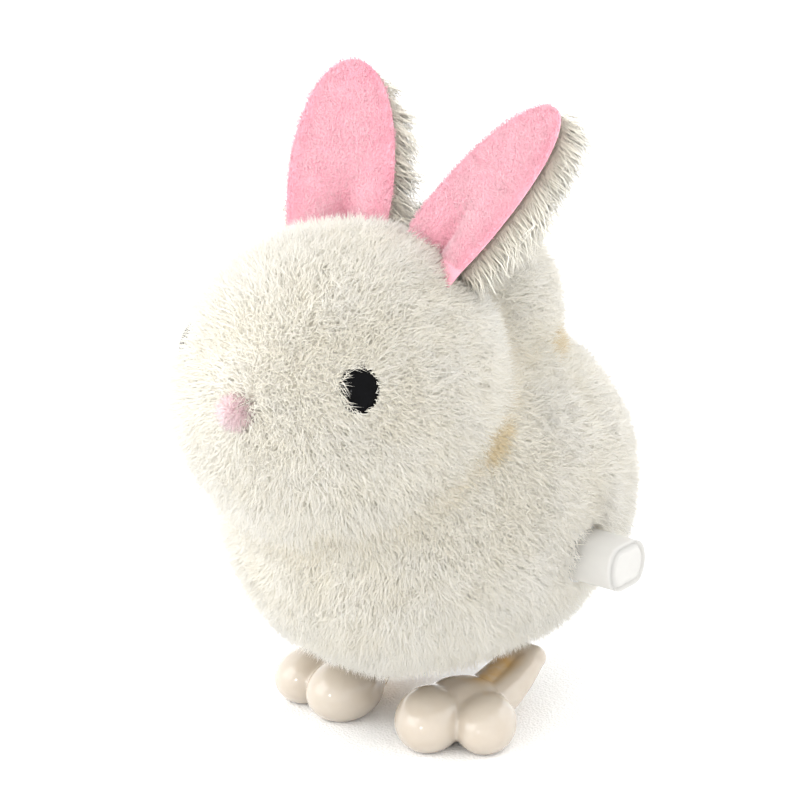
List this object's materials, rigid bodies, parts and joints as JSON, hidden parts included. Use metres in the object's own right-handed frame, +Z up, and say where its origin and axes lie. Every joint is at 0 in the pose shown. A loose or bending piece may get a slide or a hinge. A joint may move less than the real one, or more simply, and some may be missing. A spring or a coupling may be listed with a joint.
{
  "type": "wind-up toy rabbit",
  "caption": "White plush wind-up hopping rabbit with pink-lined ears, bead eyes, moulded feet and a side winding knob, over a full clockwork motor.",
  "frame": {"origin": "on the floor, midway between the two feet, on the plane of symmetry of the rabbit", "axes": "+Z up, the rabbit faces -Y, the winding knob is on its left side, +X"},
  "size_m": [0.06, 0.0902, 0.0994],
  "materials": {
    "white_plush": "matte pile",
    "wadding": "matte",
    "pink_fleece": "matte short pile",
    "pink_yarn": "matte",
    "eye_bead": "gloss",
    "washer_nylon": "satin",
    "ivory_plastic": "gloss",
    "white_plastic": "satin",
    "housing_plastic": "satin",
    "motor_plastic": "satin",
    "gear_plastic": "satin",
    "brass": "polished",
    "spring_steel": "blued",
    "steel": "bright"
  },
  "bodies": {
    "root": {"body_plush": "white_plush", "body_stuffing": "wadding", "head_plush": "white_plush", "head_stuffing": "wadding", "nape_plush": "white_plush", "ear_left_back": "white_plush", "ear_left_front": "pink_fleece", "ear_right_back": "white_plush", "ear_right_front": "pink_fleece", "eye_left": "eye_bead", "eye_right": "eye_bead", "eye_washers": "washer_nylon", "nose": "pink_yarn", "tail": "white_plush", "base_plate": "ivory_plastic", "housing_left": "housing_plastic", "housing_right": "housing_plastic", "housing_screws": "steel", "motor_screws": "steel", "motor_case_left": "motor_plastic", "motor_case_right": "motor_plastic", "case_rivets": "steel", "shaft_bush": "white_plastic", "mainspring": "spring_steel"},
    "great_wheel": {"great_wheel": "gear_plastic"},
    "click": {"click": "spring_steel"},
    "winding": {"winding_shaft": "steel", "winding_knob": "white_plastic", "ratchet_wheel": "brass"},
    "second_wheel": {"second_wheel": "gear_plastic", "second_arbor": "steel"},
    "crank": {"crank_pinion": "gear_plastic", "crank_arbor": "steel", "crank_left": "gear_plastic", "crank_right": "gear_plastic"},
    "legs": {"leg_axle": "steel", "foot_left": "ivory_plastic", "foot_right": "ivory_plastic"}
  },
  "joints": [
    {"name": "train_run", "type": "hinge", "parent": "root", "child": "great_wheel", "pos_m": [0, 0.003, 0.0295], "axis": [1, 0, 0], "continuous": true},
    {"name": "knob_wind", "type": "hinge", "parent": "great_wheel", "child": "winding", "pos_m": [0, 0.003, 0.0295], "axis": [1, 0, 0], "continuous": true},
    {"name": "click_lift", "type": "hinge", "parent": "great_wheel", "child": "click", "pos_m": [0, -0.00367, 0.03279], "axis": [1, 0, 0], "range_deg": [0, 11], "stiffness_Nm_per_rad": 0.0005},
    {"name": "second_run", "type": "hinge", "parent": "root", "child": "second_wheel", "pos_m": [0, -0.00907, 0.02624], "axis": [1, 0, 0], "continuous": true},
    {"name": "crank_run", "type": "hinge", "parent": "root", "child": "crank", "pos_m": [0, -0.004, 0.0182], "axis": [1, 0, 0], "continuous": true},
    {"name": "leg_hop", "type": "hinge", "parent": "root", "child": "legs", "pos_m": [0, 0.0065, 0.0084], "axis": [1, 0, 0], "range_deg": [-4.79, 4.79]}
  ],
  "couplings": [
    {"joint": "second_run", "follows": "train_run", "ratio": -4},
    {"joint": "crank_run", "follows": "train_run", "ratio": 11.2}
  ]
}
